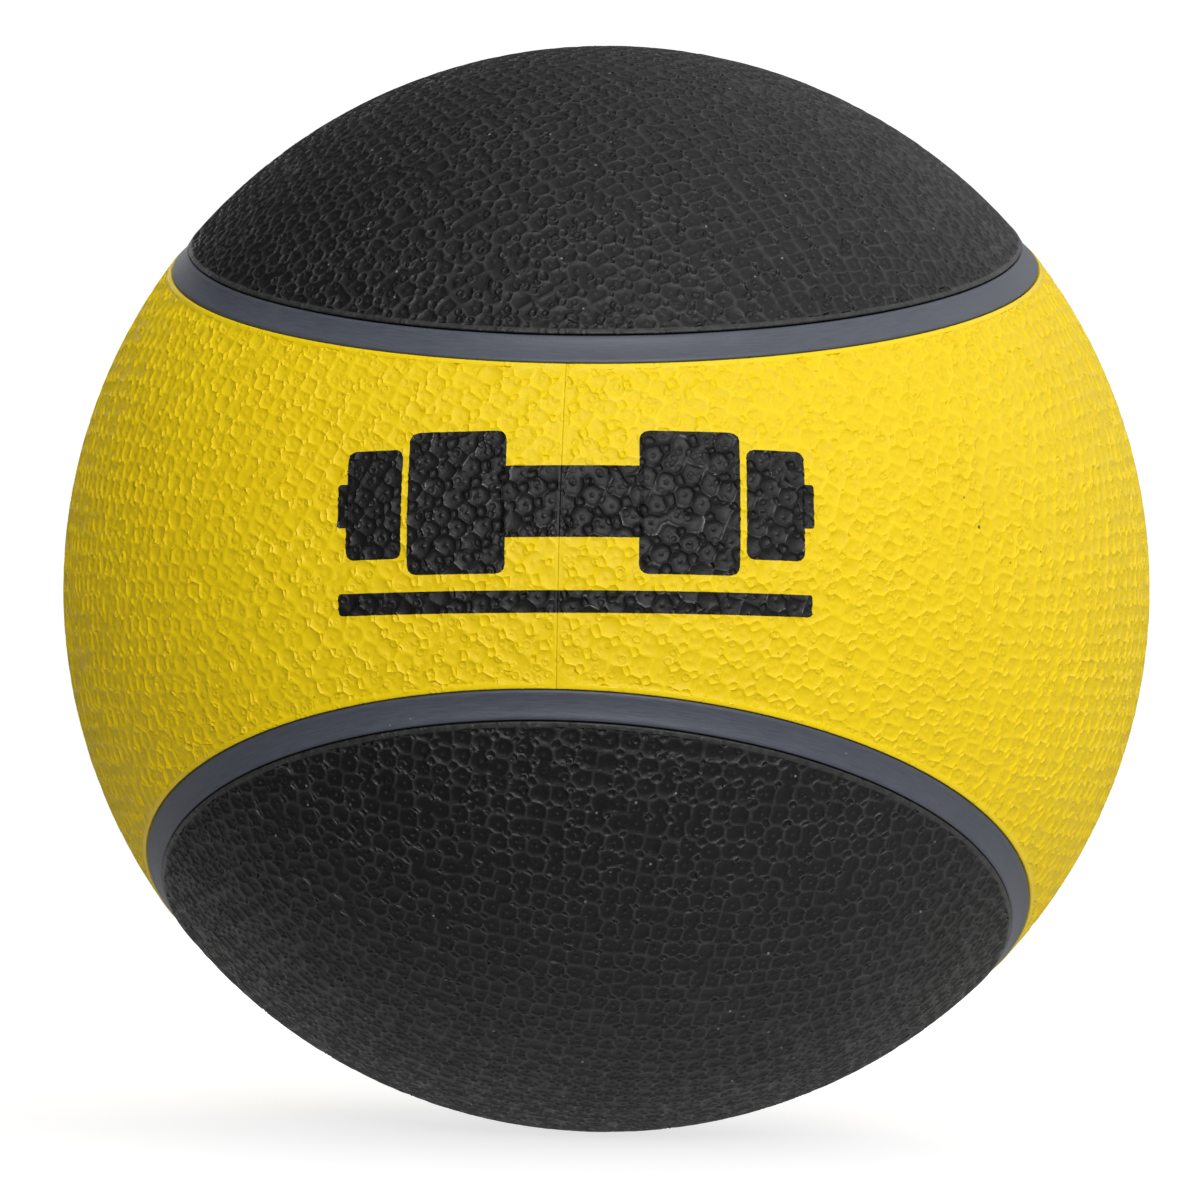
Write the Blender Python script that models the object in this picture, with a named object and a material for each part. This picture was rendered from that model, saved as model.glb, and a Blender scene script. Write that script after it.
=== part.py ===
"""A weighted, inflatable rubber medicine ball with a two-colour interlocking cover.

The cover is laid out like a tennis ball. A yellow and a black dog-bone panel interlock, and a
grey rubber strip fills the channel between them. Each panel is two halves joined at its narrow
neck. Under the cover lie a heavy rubber carcass in two rebated halves, a nylon thread winding,
an air bladder with its patches, and a self-sealing inflation valve.

The origin is the ball's centre. The middle of the yellow neck faces -Y, the yellow lobes face
-X and +X, the black lobes face -Z and +Z, and the valve's axis is +Z.
"""

from math import acos, asin, atan2, cos, pi, radians, sin, sqrt

import bmesh
import bpy
from mathutils import Matrix, Vector

# Ball
BALL_DIAMETER = 0.230
BALL_R = BALL_DIAMETER / 2
FIT_GAP = 0.0003               # left between any two pieces that touch on the real ball

# Cover. Angles are seen from the ball's centre.
LOBE_POLE = radians(66.1)      # from the middle of a neck to the centre of a lobe's edge arc
TRIM_WIDTH = 0.0058
COVER_THICKNESS = 0.0035
TRIM_RECESS = 0.0004           # how far the strip's face lies below the cover's
TRIM_CHAMFER = 0.0005
ARC_STEPS = 12                 # facets along half of one edge arc
PANEL_ROWS = 12                # facets across a panel

# Inner layers, outer and inner radius of each
CARCASS_R = (0.1106, 0.0940)
WINDING_R = (0.0936, 0.0924)
BLADDER_R = (0.0920, 0.0904)
PATCH_R = (0.0900, 0.0888)
REBATE_R = 0.1020              # where the carcass halves' joint steps down
REBATE_DEPTH = 0.004
SHELL_SIDES = 28
SHELL_BANDS = 14               # bands from the top pole to the bottom pole

# Valve, on the +Z axis
HOLE_R = 0.0053                # through the cover, carcass, winding, bladder and patch
STEM_R = 0.0049
VALVE_FACE_Z = 0.1140          # the housing's flat top face, just below the cover
FLANGE_R = 0.0090
FLANGE_TOP_Z = 0.0883          # where the flange meets the stem
FLANGE_EDGE_Z = 0.0877         # its top falls away to the rim, as the patch above it does
FLANGE_THICKNESS = 0.0020
MOUTH_R = 0.0028               # the cup that guides the needle in
CORE_R = 0.0020
CORE_TOP_Z = 0.1130
CORE_TIP_Z = 0.0820
BEAD_R = 0.0030                # the ring on the core that snaps into the housing
BEAD_Z = 0.1010
BEAD_HALF_HEIGHT = 0.0012
NEEDLE_R = 0.0007

SMOOTH_ANGLE = radians(35)
LOBE_RADIUS = acos(sin(LOBE_POLE) / sqrt(2))
MEETING_COS = -cos(LOBE_POLE) * cos(LOBE_RADIUS) / (sin(LOBE_POLE) * sin(LOBE_RADIUS))
ARC_HALF_TURN = acos(MEETING_COS)
BAND_ANGLE = pi / SHELL_BANDS
TURN_OVER = Matrix.Rotation(pi, 4, "Y")
SWAP_COLOURS = Matrix.Rotation(pi, 4, Vector((1, 0, 1)))


def make_material(name, colour, roughness):
    """A plain Principled material."""
    material = bpy.data.materials.new(name)
    material.use_nodes = True
    shader = material.node_tree.nodes["Principled BSDF"]
    shader.inputs["Base Color"].default_value = (*colour, 1.0)
    shader.inputs["Roughness"].default_value = roughness
    shader.inputs["Metallic"].default_value = 0.0
    return material


def add_piece(name, bm, material):
    """Turn a bmesh into a named, smooth-shaded object with its faces pointing out."""
    bmesh.ops.recalc_face_normals(bm, faces=bm.faces)
    if bm.calc_volume(signed=True) < 0:
        bmesh.ops.reverse_faces(bm, faces=bm.faces)
    mesh = bpy.data.meshes.new(name)
    bm.to_mesh(mesh)
    bm.free()
    mesh.materials.append(material)
    mesh.shade_smooth()
    mesh.set_sharp_from_angle(angle=SMOOTH_ANGLE)
    piece = bpy.data.objects.new(name, mesh)
    bpy.context.collection.objects.link(piece)
    return piece


def edge_direction(arc, turn, shift):
    """Unit vector on one of the four edge arcs, moved by an angle towards the yellow side.

    The arcs follow each other round the ball. Each is the part of a circle that surrounds a
    lobe, and meets the next tangentially where the turn about its pole is ARC_HALF_TURN.
    """
    surrounds_black = arc % 2 == 0
    radius = LOBE_RADIUS + (shift if surrounds_black else -shift)
    pole = Vector((0, -cos(LOBE_POLE), sin(LOBE_POLE)))
    to_neck = Vector((0, -sin(LOBE_POLE), -cos(LOBE_POLE)))
    aside = Vector((1, 0, 0))
    direction = cos(radius) * pole + sin(radius) * (cos(turn) * to_neck + sin(turn) * aside)
    if not surrounds_black:
        direction = SWAP_COLOURS @ direction
    if arc >= 2:
        direction = TURN_OVER @ direction
    return direction


def panel_half(name, material, placement):
    """Half of a dog-bone panel, from the joint at its neck round the tip of one lobe.

    It is built as the half of the yellow panel that faces +X, in columns of equal longitude
    that run from the panel's upper edge to its lower one, and then placed.
    """
    inset = asin((TRIM_WIDTH + FIT_GAP) / 2 / BALL_R)
    joint_turn = asin(FIT_GAP / 2 / BALL_R / sin(LOBE_RADIUS + inset))
    turns = [ARC_HALF_TURN * step / ARC_STEPS for step in range(ARC_STEPS + 1)]
    upper_edge = [edge_direction(0, max(turn, joint_turn), inset) for turn in turns]
    upper_edge += [edge_direction(1, turn, inset) for turn in reversed(turns[1:-1])]
    tip = edge_direction(1, 0, inset)

    bm = bmesh.new()
    skins = []
    for radius in (BALL_R, BALL_R - COVER_THICKNESS):
        columns = []
        for direction in upper_edge:
            longitude = atan2(direction.y, direction.x)
            edge_latitude = asin(direction.z)
            column = []
            for row in range(PANEL_ROWS + 1):
                latitude = edge_latitude * (1 - 2 * row / PANEL_ROWS)
                flat = radius * cos(latitude)
                place = (flat * cos(longitude), flat * sin(longitude), radius * sin(latitude))
                column.append(bm.verts.new(place))
            columns.append(column)
        tip_vertex = bm.verts.new(radius * tip)
        for left, right in zip(columns, columns[1:]):
            for row in range(PANEL_ROWS):
                bm.faces.new((left[row], left[row + 1], right[row + 1], right[row]))
        for upper, lower in zip(columns[-1], columns[-1][1:]):
            bm.faces.new((upper, lower, tip_vertex))
        outline = [column[0] for column in columns] + [tip_vertex]
        outline += [column[-1] for column in reversed(columns)] + columns[0][-2:0:-1]
        skins.append(outline)
    outer, inner = skins
    for i, vertex in enumerate(outer):
        bm.faces.new((outer[i - 1], vertex, inner[i], inner[i - 1]))
    bmesh.ops.transform(bm, matrix=placement, verts=bm.verts)
    return add_piece(name, bm, material)


def trim_strip(name, material):
    """The strip in the channel, one section after another round the closed seam."""
    half = (TRIM_WIDTH - FIT_GAP) / 2
    top = BALL_R - TRIM_RECESS
    bottom = BALL_R - COVER_THICKNESS
    shoulder = top - TRIM_CHAMFER
    crown = half - TRIM_CHAMFER
    section = [(-half, bottom), (half, bottom), (half, shoulder), (crown, top)]
    section += [(-crown, top), (-half, shoulder)]

    bm = bmesh.new()
    rings = []
    for arc in range(4):
        start = -1 if arc % 2 == 0 else 1
        for step in range(2 * ARC_STEPS):
            turn = start * ARC_HALF_TURN * (1 - step / ARC_STEPS)
            ring = []
            for side, radius in section:
                direction = edge_direction(arc, turn, asin(side / BALL_R))
                ring.append(bm.verts.new(radius * direction))
            rings.append(ring)
    for i, ring in enumerate(rings):
        before = rings[i - 1]
        for k, vertex in enumerate(ring):
            bm.faces.new((before[k - 1], before[k], vertex, ring[k - 1]))
    return add_piece(name, bm, material)


def turned(name, profile, material):
    """A closed profile of (radius, height) points, turned about the Z axis."""
    bm = bmesh.new()
    rings = []
    for radius, height in profile:
        if radius == 0:
            rings.append([bm.verts.new((0, 0, height))])
            continue
        ring = []
        for side in range(SHELL_SIDES):
            turn = 2 * pi * side / SHELL_SIDES
            ring.append(bm.verts.new((radius * cos(turn), radius * sin(turn), height)))
        rings.append(ring)
    for i, ring in enumerate(rings):
        before = rings[i - 1]
        if len(ring) == 1 and len(before) == 1:
            continue
        for side in range(SHELL_SIDES):
            if len(ring) == 1:
                bm.faces.new((before[side - 1], before[side], ring[0]))
            elif len(before) == 1:
                bm.faces.new((before[0], ring[side], ring[side - 1]))
            else:
                bm.faces.new((before[side - 1], before[side], ring[side], ring[side - 1]))
    return add_piece(name, bm, material)


def sphere_profile(radius, first_band, last_band):
    """Points down a sphere's side. Band 0 is the valve hole's rim, and the last is the pole."""
    points = []
    for band in range(first_band, last_band + 1):
        if band == 0:
            points.append((HOLE_R, sqrt(radius**2 - HOLE_R**2)))
        elif band == SHELL_BANDS:
            points.append((0, -radius))
        else:
            polar = band * BAND_ANGLE
            points.append((radius * sin(polar), radius * cos(polar)))
    return points


def shell_profile(outer, inner, first_band, last_band):
    """A shell's outer side down and its inner side back up."""
    outside = sphere_profile(outer, first_band, last_band)
    inside = sphere_profile(inner, first_band, last_band)
    return outside + inside[::-1]


def carcass_halves(material):
    """The weight: two thick half shells, the upper with a tongue inside the lower's rim."""
    outer, inner = CARCASS_R
    equator = SHELL_BANDS // 2
    half_gap = FIT_GAP / 2
    above = sphere_profile(outer, 0, equator - 1)
    tongue = [(outer, half_gap), (REBATE_R - half_gap, half_gap)]
    tongue += [(REBATE_R - half_gap, half_gap - REBATE_DEPTH)]
    tongue += [(inner, half_gap - REBATE_DEPTH)]
    upper = above + tongue + sphere_profile(inner, 0, equator - 1)[::-1]
    turned("carcass_upper", upper, material)

    below = sphere_profile(outer, equator + 1, SHELL_BANDS)
    rim = [(inner, -half_gap - REBATE_DEPTH), (REBATE_R + half_gap, -half_gap - REBATE_DEPTH)]
    rim += [(REBATE_R + half_gap, -half_gap), (outer, -half_gap)]
    lower = below + sphere_profile(inner, equator + 1, SHELL_BANDS)[::-1] + rim
    turned("carcass_lower", lower, material)


def valve_housing(material):
    """The flanged stem that the bladder and every layer above it close round."""
    bore = CORE_R + FIT_GAP
    groove_r = BEAD_R + FIT_GAP
    groove = BEAD_HALF_HEIGHT + FIT_GAP
    cup_bottom = CORE_TOP_Z - FIT_GAP
    flange_bottom = FLANGE_TOP_Z - FLANGE_THICKNESS
    profile = [(MOUTH_R, VALVE_FACE_Z), (STEM_R, VALVE_FACE_Z), (STEM_R, FLANGE_TOP_Z)]
    profile += [(FLANGE_R, FLANGE_EDGE_Z), (FLANGE_R, flange_bottom)]
    profile += [(bore, flange_bottom), (bore, BEAD_Z - groove)]
    profile += [(groove_r, BEAD_Z - groove / 2), (groove_r, BEAD_Z + groove / 2)]
    profile += [(bore, BEAD_Z + groove), (bore, cup_bottom)]
    turned("valve_housing", profile, material)


def valve_core(material):
    """The self-sealing plug, with its snap ring and the channel that a needle opens."""
    lead_in = 2 * NEEDLE_R
    profile = [(lead_in, CORE_TOP_Z), (CORE_R, CORE_TOP_Z - FIT_GAP)]
    profile += [(CORE_R, BEAD_Z + BEAD_HALF_HEIGHT), (BEAD_R, BEAD_Z + BEAD_HALF_HEIGHT / 2)]
    profile += [(BEAD_R, BEAD_Z - BEAD_HALF_HEIGHT / 2), (CORE_R, BEAD_Z - BEAD_HALF_HEIGHT)]
    profile += [(CORE_R, CORE_TIP_Z + CORE_R / 2), (CORE_R / 2, CORE_TIP_Z)]
    profile += [(NEEDLE_R, CORE_TIP_Z), (NEEDLE_R, CORE_TOP_Z - NEEDLE_R)]
    turned("valve_core", profile, material)


def cut_valve_hole(cover):
    """The hole through the top cover, cut by a prism that lines up with the stem's sides."""
    hole_height = 4 * COVER_THICKNESS
    bm = bmesh.new()
    bmesh.ops.create_cone(
        bm, cap_ends=True, segments=SHELL_SIDES, radius1=HOLE_R, radius2=HOLE_R, depth=hole_height
    )
    mesh = bpy.data.meshes.new("valve_hole_cutter")
    bm.to_mesh(mesh)
    bm.free()
    cutter = bpy.data.objects.new("valve_hole_cutter", mesh)
    bpy.context.collection.objects.link(cutter)
    cutter.location.z = BALL_R - COVER_THICKNESS / 2
    cutter.hide_render = True
    cutter.display_type = "WIRE"
    cut = cover.modifiers.new("valve_hole", "BOOLEAN")
    cut.operation = "DIFFERENCE"
    cut.solver = "EXACT"
    cut.object = cutter


def build():
    """Clear the scene and model every piece."""
    for old in list(bpy.data.objects):
        bpy.data.objects.remove(old, do_unlink=True)

    yellow = make_material("yellow_rubber", (0.83, 0.56, 0.02), 0.55)
    black = make_material("black_rubber", (0.020, 0.020, 0.019), 0.60)
    grey = make_material("grey_rubber", (0.115, 0.125, 0.145), 0.45)
    heavy = make_material("heavy_rubber", (0.045, 0.043, 0.040), 0.80)
    thread = make_material("nylon_thread", (0.62, 0.60, 0.52), 0.75)
    butyl = make_material("butyl_rubber", (0.030, 0.028, 0.028), 0.50)
    patch = make_material("patch_rubber", (0.16, 0.045, 0.030), 0.65)
    valve = make_material("valve_rubber", (0.035, 0.035, 0.036), 0.40)

    panel_half("cover_yellow_right", yellow, Matrix.Identity(4))
    panel_half("cover_yellow_left", yellow, TURN_OVER)
    top = panel_half("cover_black_top", black, SWAP_COLOURS)
    cut_valve_hole(top)
    panel_half("cover_black_bottom", black, TURN_OVER @ SWAP_COLOURS)
    trim_strip("trim_strip", grey)

    carcass_halves(heavy)
    turned("thread_winding", shell_profile(*WINDING_R, 0, SHELL_BANDS), thread)
    turned("bladder", shell_profile(*BLADDER_R, 0, SHELL_BANDS), butyl)
    turned("valve_patch", shell_profile(*PATCH_R, 0, 1), patch)
    turned("balance_patch", shell_profile(*PATCH_R, SHELL_BANDS - 1, SHELL_BANDS), patch)
    valve_housing(valve)
    valve_core(valve)


build()
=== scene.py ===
"""The looks of a two-colour rubber medicine ball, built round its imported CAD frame.

The cover's four panel halves get a moulded grain: octagonal cells and small rings, divided by
thin raised ridges, many with a pip in the middle. It is the power diagram of a grid of sites,
drawn on a whole sphere once and then turned, clipped and closed for each half. The trim strip
gets its hollow profile, the valve its fine turned shape, and the mark is an ink film that
follows the grain.

The frame is the CAD's: origin at the ball's centre, yellow neck at -Y, valve at +Z, metres.
"""

from math import acos, asin, cos, inf, pi, radians, sin, sqrt

import bmesh
import bpy
import numpy as np
from mathutils import Matrix, Vector
from mathutils.kdtree import KDTree


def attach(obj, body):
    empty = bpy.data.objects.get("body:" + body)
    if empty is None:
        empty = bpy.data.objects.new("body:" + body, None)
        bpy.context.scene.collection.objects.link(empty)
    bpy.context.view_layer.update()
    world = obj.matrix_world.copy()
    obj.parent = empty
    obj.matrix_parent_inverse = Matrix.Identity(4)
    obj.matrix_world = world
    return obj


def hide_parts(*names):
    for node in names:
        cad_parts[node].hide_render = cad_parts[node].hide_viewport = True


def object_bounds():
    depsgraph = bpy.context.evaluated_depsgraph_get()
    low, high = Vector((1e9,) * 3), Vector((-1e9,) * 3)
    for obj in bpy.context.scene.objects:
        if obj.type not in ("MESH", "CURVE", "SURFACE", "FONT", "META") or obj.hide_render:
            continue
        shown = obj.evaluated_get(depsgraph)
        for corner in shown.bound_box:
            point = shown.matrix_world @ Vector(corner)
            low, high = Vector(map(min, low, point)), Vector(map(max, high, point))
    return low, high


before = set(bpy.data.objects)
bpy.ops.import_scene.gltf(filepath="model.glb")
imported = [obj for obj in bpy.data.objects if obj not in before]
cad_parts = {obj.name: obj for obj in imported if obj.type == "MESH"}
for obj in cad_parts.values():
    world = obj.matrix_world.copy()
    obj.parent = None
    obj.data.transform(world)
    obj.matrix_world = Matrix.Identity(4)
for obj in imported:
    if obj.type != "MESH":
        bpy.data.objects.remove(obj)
cad_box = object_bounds()

MM = 0.001
BALL_R = (cad_box[1].x - cad_box[0].x) / 2

# The seam, as in the CAD
LOBE_POLE = radians(66.1)
LOBE_RADIUS = acos(sin(LOBE_POLE) / sqrt(2))
MEETING_COS = -cos(LOBE_POLE) * cos(LOBE_RADIUS) / (sin(LOBE_POLE) * sin(LOBE_RADIUS))
ARC_HALF_TURN = acos(MEETING_COS)
TRIM_WIDTH = 5.8 * MM
COVER_THICKNESS = 3.5 * MM
ARC_0_POLE = np.array((0, -cos(LOBE_POLE), sin(LOBE_POLE)))
ARC_1_POLE = np.array((sin(LOBE_POLE), cos(LOBE_POLE), 0))
MEETING_PLANE = np.cross(ARC_0_POLE, ARC_1_POLE)
TURN_OVER = Matrix.Rotation(pi, 3, "Y")
SWAP_COLOURS = Matrix.Rotation(pi, 3, Vector((1, 0, 1)))

# Where the cells are
GRAIN_STEPS = 46               # large cells along a quarter of the ball
RING_SHARE = 0.88              # how many of the small rings are there
WARP = 0.0425                  # slow bending of the grid, over its frequency
WARP_FREQUENCIES = (5, 9, 14)
WAVE_SPREAD = 1.7
SITE_JITTER = 0.45 * MM
SITE_LIFT = 5.2 * MM**2        # weight of a large cell's site in the power diagram
RING_DROP = (2.8 * MM**2, 4.0 * MM**2)   # how much less a small ring's site weighs
NEIGHBOURS = 20                # sites that may bound a cell
REACH = 0.08                   # more than a cell's size, as an angle
MERGE_GAP = 0.50 * MM          # corners closer than this become one
ASIDE = (0.31, 0.52, 0.79)     # any direction, to measure turns from

# Walls between the cells. Of each pair, the first is for walls beside a small ring.
BREAK_CHANCES = (0.05, 0.17)
BREAK_LENGTH = 1.3             # a shorter wall is never broken, in mm
SPLIT_LENGTHS = (1.15, 2.2)    # a longer wall gets a middle point, in mm
LONG_WALL = 3.2                # and a wall longer than this gets two
WALL_POINTS = (  # plain, long and broken walls: where their middle points are, and how high
    ((0.5,), (0.66, 0.92)),
    ((0.33, 0.67), (0.55, 0.88)),
    ((0.24, 0.5, 0.76), (0.0, 0.1)),
)
WALL_WOBBLE = 0.13 * MM
CORNER_HEIGHTS = (0.86, 1.0)
PLAIN_CORNER = 0.85            # height of a corner that touches no ring, beside one that does
RING_SAG = 0.3                 # of a ring's walls, beside that of other walls
RING_BULGE = 0.18 * MM / BALL_R

# Depths and pips
RIDGE_HEIGHT = 0.34 * MM
RIDGE_FOOT = 0.40 * MM         # half the width of a ridge at its foot
RING_FOOT = 0.34 * MM
ROUNDNESS = 0.7                # of the pits, in cells with corners
FOOT_DEPTH = 0.82              # of the floor's depth
FLOOR_LUCK = 0.10              # how much the floor's depth differs from cell to cell
LEAST_CELL = 1.6               # a cell smaller than this, in ridge feet, is one shallow dip
PIP_SHARE = 0.84               # how many of the large cells have a pip
PIP_SIDES = 5
PIP_HEIGHT = 0.33 * MM
PIP_RADIUS = 0.60 * MM
PIP_LUCK = 0.16                # how much a pip's radius differs, in mm
PIP_SHIFT = 0.3 * MM
PIP_ROOM = 1.25 * MM           # a cell smaller than this has no pip
GRAIN_MARGIN = 0.95 * MM       # smooth border beside the trim strip
VALVE_MARGIN = 9.4 * MM

rng = np.random.default_rng(20)


# ---------------------------------------------------------------- directions

def unit(vectors):
    return vectors / np.linalg.norm(vectors, axis=-1, keepdims=True)


def edge_directions(arc, turns, shift):
    """Directions on one of the seam's four arcs, moved by an angle towards the yellow side."""
    surrounds_black = arc % 2 == 0
    radius = LOBE_RADIUS + (shift if surrounds_black else -shift)
    turns = np.asarray(turns, float)[:, None]
    to_neck = np.array((0, -sin(LOBE_POLE), -cos(LOBE_POLE)))
    lean = np.cos(turns) * to_neck + np.sin(turns) * np.array((1.0, 0, 0))
    directions = cos(radius) * ARC_0_POLE + sin(radius) * lean
    if not surrounds_black:
        directions = directions @ np.array(SWAP_COLOURS).T
    if arc >= 2:
        directions = directions @ np.array(TURN_OVER).T
    return directions


def seam_distance(directions):
    """Distance from the seam, positive on the yellow side."""
    folded = directions.copy()
    folded[:, 0] = np.abs(folded[:, 0])
    folded[:, 2] = np.abs(folded[:, 2])
    from_black = np.arccos(np.clip(folded @ ARC_0_POLE, -1, 1)) - LOBE_RADIUS
    from_yellow = LOBE_RADIUS - np.arccos(np.clip(folded @ ARC_1_POLE, -1, 1))
    return BALL_R * np.where(folded @ MEETING_PLANE < 0, from_black, from_yellow)


# ---------------------------------------------------------------- grain pattern

def grid_on_sphere(offset, count):
    """An equal-angle grid on the six sides of a cube, thrown onto the unit sphere."""
    steps = np.tan(pi / 4 * (2 * (np.arange(count) + offset) / GRAIN_STEPS - 1))
    across, along = np.meshgrid(steps, steps, indexing="ij")
    sides = []
    for axis in range(3):
        for sign in (-1, 1):
            side = np.zeros((count * count, 3))
            side[:, axis] = sign
            side[:, (axis + 1) % 3] = across.ravel()
            side[:, (axis + 2) % 3] = along.ravel()
            sides.append(side)
    return unit(np.concatenate(sides))


def clip_polygon(polygon, limit, label):
    """The part of a polygon where c + a u + b v is positive. Its new edge gets the label."""
    c, a, b = limit
    values = [c + a * u + b * v for u, v, _ in polygon]
    if not values or min(values) >= 0:
        return polygon
    kept = []
    for k, (u, v, edge) in enumerate(polygon):
        here = values[k]
        there = values[(k + 1) % len(values)]
        if here >= 0:
            kept.append((u, v, edge))
        if (here >= 0) != (there >= 0):
            share = here / (here - there)
            next_u, next_v, _ = polygon[(k + 1) % len(values)]
            crossing = (u + share * (next_u - u), v + share * (next_v - v))
            kept.append((*crossing, label if here >= 0 else edge))
    return kept


class Grain:
    """Corners, walls and cells of the grain over a whole unit sphere."""

    def __init__(self):
        self.make_sites()
        self.make_corners()
        self.make_walls()

    def make_sites(self):
        large = grid_on_sphere(0.5, GRAIN_STEPS)
        small = grid_on_sphere(0.0, GRAIN_STEPS + 1)
        small = np.unique(small.round(6), axis=0)
        small = small[rng.random(len(small)) < RING_SHARE]
        sites = np.concatenate((large, small))
        self.is_large = np.arange(len(sites)) < len(large)

        warp = np.zeros_like(sites)
        for frequency in WARP_FREQUENCIES:
            waves = rng.normal(size=(3, 3)) * frequency / WAVE_SPREAD
            phases = rng.random(3) * 2 * pi
            warp += np.sin(sites @ waves.T + phases) * WARP / frequency
        sites = unit(sites + warp + rng.uniform(-1, 1, sites.shape) * SITE_JITTER / BALL_R)

        drop = rng.uniform(*RING_DROP, len(sites))
        cap = np.where(self.is_large, SITE_LIFT, SITE_LIFT - drop) / BALL_R**2
        self.lifted = sites / np.sqrt(1 - cap)[:, None]

    def make_corners(self):
        """Each site's cell of the power diagram, as a ring of corners it shares with others."""
        sites = unit(self.lifted)
        tree = KDTree(len(sites))
        for i, place in enumerate(sites):
            tree.insert(place, i)
        tree.balance()
        near = np.array([[n[1] for n in tree.find_n(place, NEIGHBOURS + 1)[1:]] for place in sites])
        side, up = axes_round(sites, ASIDE)
        apart = self.lifted[:, None] - self.lifted[near]
        limits = np.stack([(apart * axis[:, None]).sum(2) for axis in (sites, side, up)], 2)

        numbers = {}
        rings = []
        for i, (others, edges) in enumerate(zip(near.tolist(), limits.tolist())):
            polygon = [(u * REACH, v * REACH, -1) for u, v in ((-1, -1), (1, -1), (1, 1), (-1, 1))]
            for other, limit in zip(others, edges):
                polygon = clip_polygon(polygon, limit, other)
                if not polygon:
                    break
            ring = []
            for k, (_, _, label) in enumerate(polygon):
                key = tuple(sorted((i, polygon[k - 1][2], label)))
                ring.append(numbers.setdefault(key, len(numbers)))
            rings.append(ring)
        first, second, third = (self.lifted[column] for column in np.array(list(numbers)).T)
        normals = unit(np.cross(second - first, third - first))
        normals *= np.sign((normals * first).sum(1))[:, None]

        root = list(range(len(normals)))

        def find(i):
            while root[i] != i:
                root[i] = root[root[i]]
                i = root[i]
            return i

        pairs = np.array([pair for ring in rings for pair in zip(ring, ring[1:] + ring[:1])])
        gaps = np.linalg.norm(normals[pairs[:, 0]] - normals[pairs[:, 1]], axis=1)
        for a, b in pairs[gaps < MERGE_GAP / BALL_R].tolist():
            root[find(a)] = find(b)
        groups = np.array([find(i) for i in range(len(root))])
        names, member = np.unique(groups, return_inverse=True)
        corners = np.zeros((len(names), 3))
        np.add.at(corners, member, normals)
        self.corners = unit(corners)

        self.cells = []
        for large, ring in zip(self.is_large.tolist(), rings):
            merged = [int(member[corner]) for corner in ring]
            merged = [corner for k, corner in enumerate(merged) if corner != merged[k - 1]]
            if len(merged) >= 3:
                self.cells.append((large, merged))

    def make_walls(self):
        """Points between the corners along each wall, and every point's height, 0 to 1."""
        self.wall_index = {}
        ring_centres = []
        for large, ring in self.cells:
            centre = None if large else self.corners[ring].mean(0)
            for a, b in zip(ring, ring[1:] + ring[:1]):
                key = (min(a, b), max(a, b))
                if key not in self.wall_index:
                    self.wall_index[key] = len(self.wall_index)
                    ring_centres.append(None)
                if not large:
                    ring_centres[self.wall_index[key]] = centre
        ends = np.array(list(self.wall_index))
        beside_ring = np.array([centre is not None for centre in ring_centres])
        ring_centres = np.array([np.zeros(3) if c is None else c for c in ring_centres])
        start, end = self.corners[ends[:, 0]], self.corners[ends[:, 1]]
        length = np.linalg.norm(end - start, axis=1) * BALL_R / MM
        sideways = unit(np.cross(start, end))
        away = (((start + end) / 2 - ring_centres) * sideways).sum(1)
        bulge = np.sign(away) * beside_ring * RING_BULGE
        luck = rng.random(len(ends))
        broken = (luck < np.where(beside_ring, *BREAK_CHANCES)) & (length > BREAK_LENGTH)
        plain = ~broken & (length > np.where(beside_ring, *SPLIT_LENGTHS))
        long = plain & (length > LONG_WALL)
        plain &= ~long

        points = [self.corners]
        touches_ring = np.zeros(len(self.corners), bool)
        touches_ring[ends[beside_ring].ravel()] = True
        corner_heights = rng.uniform(*CORNER_HEIGHTS, len(self.corners))
        heights = [corner_heights * np.where(touches_ring, 1.0, PLAIN_CORNER)]
        count = len(self.corners)
        self.between = np.full((len(ends), 3), -1)
        for chosen, (shares, level) in zip((plain, long, broken), WALL_POINTS):
            rows = np.flatnonzero(chosen)
            for k, share in enumerate(shares):
                wobble = rng.uniform(-1, 1, len(rows)) * WALL_WOBBLE / BALL_R + bulge[rows]
                place = start[rows] * (1 - share) + end[rows] * share
                points.append(unit(place + sideways[rows] * wobble[:, None]))
                height = rng.uniform(*level, len(rows))
                if chosen is not broken:
                    height = np.where(beside_ring[rows], 1 - (1 - height) * RING_SAG, height)
                heights.append(height)
                self.between[rows, k] = count + np.arange(len(rows))
                count += len(rows)
        self.points = np.concatenate(points)
        self.heights = np.concatenate(heights)
        self.ends = ends

    def wall_points(self, a, b):
        """Indices of the points between two corners, in order from a to b."""
        row = self.between[self.wall_index[min(a, b), max(a, b)]]
        inside = [int(i) for i in row if i >= 0]
        return inside if a < b else inside[::-1]


# ---------------------------------------------------------------- mesh collecting

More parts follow.
